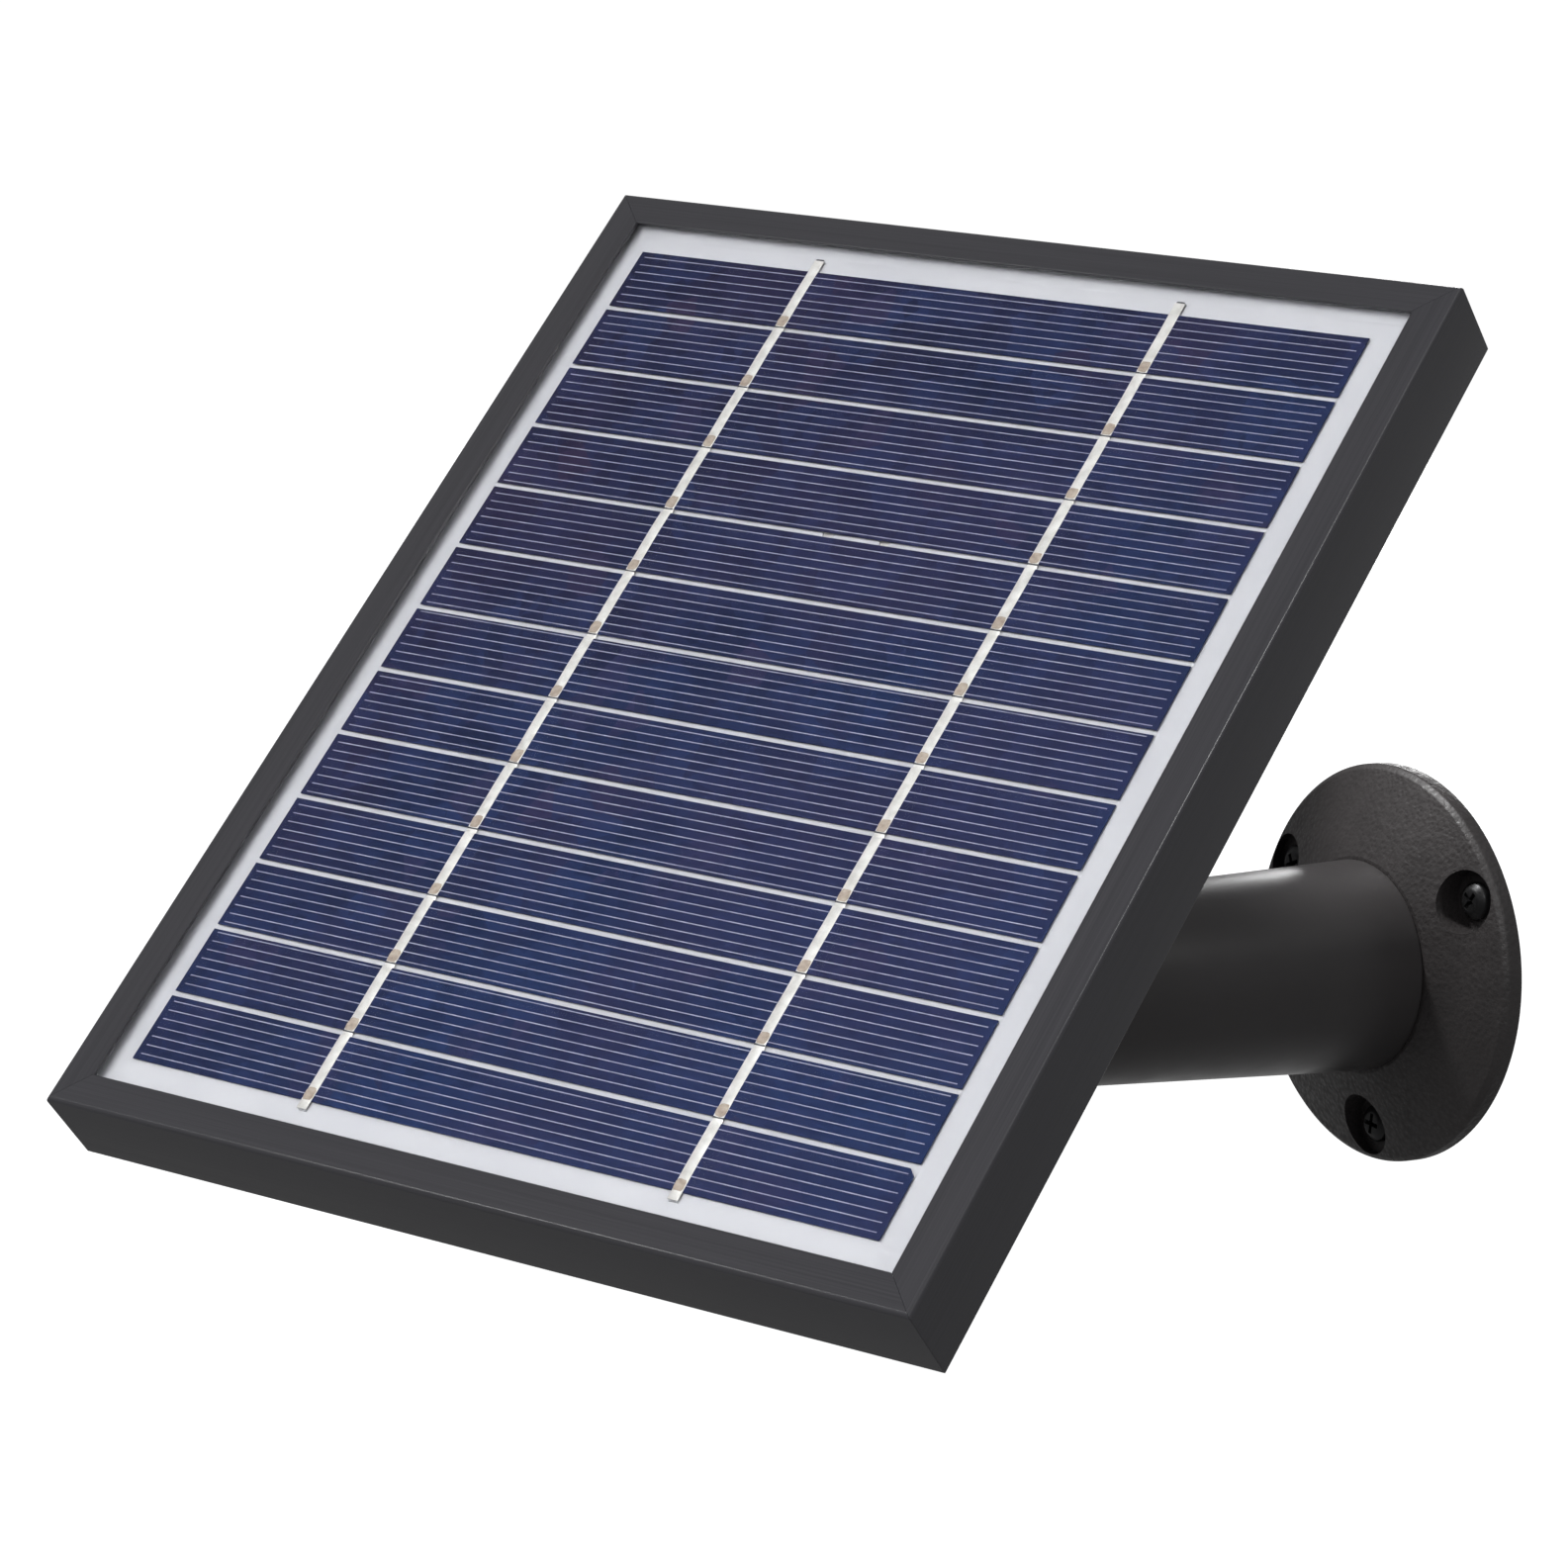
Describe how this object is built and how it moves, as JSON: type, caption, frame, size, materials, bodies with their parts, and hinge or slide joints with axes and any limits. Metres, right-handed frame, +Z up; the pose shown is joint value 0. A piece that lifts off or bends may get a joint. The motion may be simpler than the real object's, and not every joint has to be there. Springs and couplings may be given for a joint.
{
  "type": "solar panel on a wall arm",
  "caption": "Framed polycrystalline solar panel that powers an outdoor camera, on a tapered wall arm with a round flange and a clamped ball joint.",
  "frame": {"origin": "centre of the wall flange's back face, where it meets the wall", "axes": "+Y into the wall, -Y along the arm away from it, +Z up, +X to the right of someone facing the wall"},
  "size_m": [0.2288, 0.2645, 0.1744],
  "materials": {
    "textured_black": "powder coat with a fine leather-like grain",
    "satin_black": "smooth satin black paint",
    "collar_black": "satin moulded nylon",
    "black_screw": "blackened steel",
    "zinc_steel": "zinc plated",
    "spring_steel": "bright spring steel",
    "plated_steel": "polished nickel plate",
    "acetal": "natural acetal",
    "brass": "turned brass",
    "black_anodised": "satin black anodised extrusion",
    "raw_aluminium": "mill finish",
    "seal_rubber": "matt silicone rubber",
    "front_glass": "clear tempered glass",
    "clear_film": "clear laminating sheet",
    "silicon": "polycrystalline silicon with an antireflective blue coat",
    "tinned_copper": "tinned flat copper ribbon",
    "white_backsheet": "white polyester film",
    "wire_jacket": "red insulated wire",
    "moulded_black": "fine-textured black ABS",
    "circuit_board": "green solder mask",
    "component_grey": "moulded electronic parts"
  },
  "bodies": {
    "wall_arm": {"wall_flange": "textured_black", "wall_screws": "black_screw", "arm": "satin_black", "arm_screws": "zinc_steel", "disc_springs": "spring_steel"},
    "cup": {"pressure_cup": "acetal"},
    "collar": {"locking_collar": "collar_black"},
    "ball": {"ball_stud": "plated_steel", "jam_nut": "zinc_steel", "lock_washer": "spring_steel"},
    "panel": {"foot": "textured_black", "foot_insert": "brass", "foot_screws": "zinc_steel", "backing_plate": "zinc_steel", "rail_top": "black_anodised", "rail_bottom": "black_anodised", "rail_left": "black_anodised", "rail_right": "black_anodised", "corner_keys": "raw_aluminium", "glazing_seal": "seal_rubber", "front_glass": "front_glass", "front_encapsulant": "clear_film", "solar_cells": "silicon", "tabbing_ribbons": "tinned_copper", "rear_encapsulant": "clear_film", "bus_ribbons": "tinned_copper", "backsheet": "white_backsheet", "lead_wires": "wire_jacket", "back_cover": "moulded_black", "cover_screws": "black_screw", "junction_box": "moulded_black", "box_screws": "zinc_steel", "box_lid": "moulded_black", "lid_gasket": "seal_rubber", "lid_screws": "zinc_steel", "charge_board": "circuit_board", "board_components": "component_grey", "board_screws": "zinc_steel", "gland_body": "moulded_black", "gland_cap": "moulded_black", "gland_seal": "seal_rubber", "gland_locknut": "moulded_black"}
  },
  "joints": [
    {"name": "ball_pan", "type": "hinge", "parent": "wall_arm", "child": "cup", "pos_m": [0, -0.126, 0], "axis": [0, -1, 0], "range_deg": [-180, 180]},
    {"name": "ball_tilt", "type": "hinge", "parent": "cup", "child": "ball", "pos_m": [0, -0.126, 0], "axis": [-0.9357, 0, 0.3528], "range_deg": [-101, 2.5]},
    {"name": "panel_spin", "type": "hinge", "parent": "ball", "child": "panel", "pos_m": [0, -0.126, 0], "axis": [0.268, -0.6503, 0.7108], "range_deg": [-180, 180]},
    {"name": "collar_turn", "type": "hinge", "parent": "wall_arm", "child": "collar", "pos_m": [0, -0.12, 0], "axis": [0, -1, 0], "range_deg": [-120, 0]}
  ]
}
